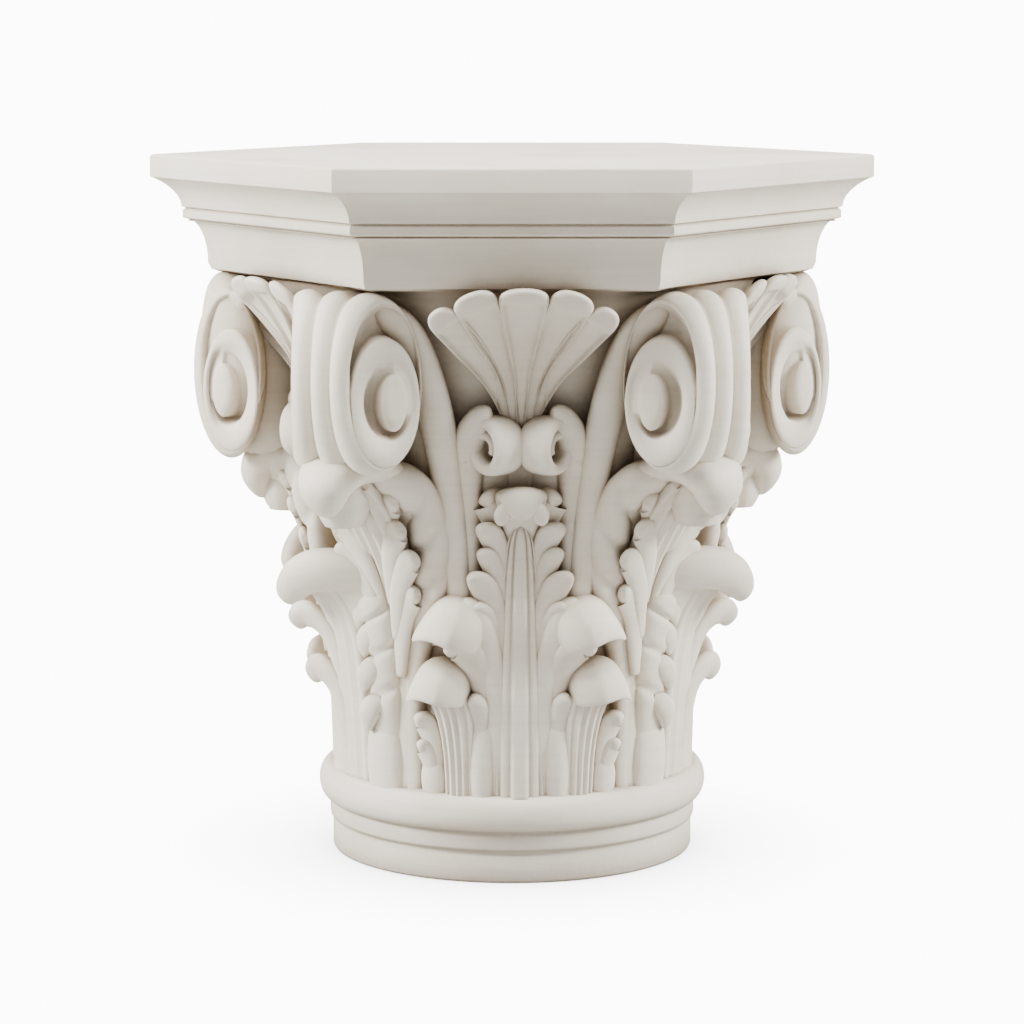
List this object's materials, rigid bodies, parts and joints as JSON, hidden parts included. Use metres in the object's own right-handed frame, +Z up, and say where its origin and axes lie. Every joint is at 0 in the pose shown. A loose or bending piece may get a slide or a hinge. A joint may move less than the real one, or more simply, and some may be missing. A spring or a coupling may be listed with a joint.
{
  "type": "corinthian capital",
  "caption": "Cast plaster Corinthian capital with a turned foot, acanthus leaves, corner volutes, palmettes and a mitred six-sided abacus with a flat top.",
  "frame": {"origin": "centre of the bounding box at the flat underside, on the column's axis", "axes": "+Z up along the column's axis; the front palmette faces -Y; the abacus is widest along X"},
  "size_m": [0.4956, 0.4266, 0.4802],
  "materials": {
    "plaster": "matte off-white cast plaster"
  },
  "bodies": {
    "root": {"corinthian_capital": "plaster"}
  },
  "joints": []
}
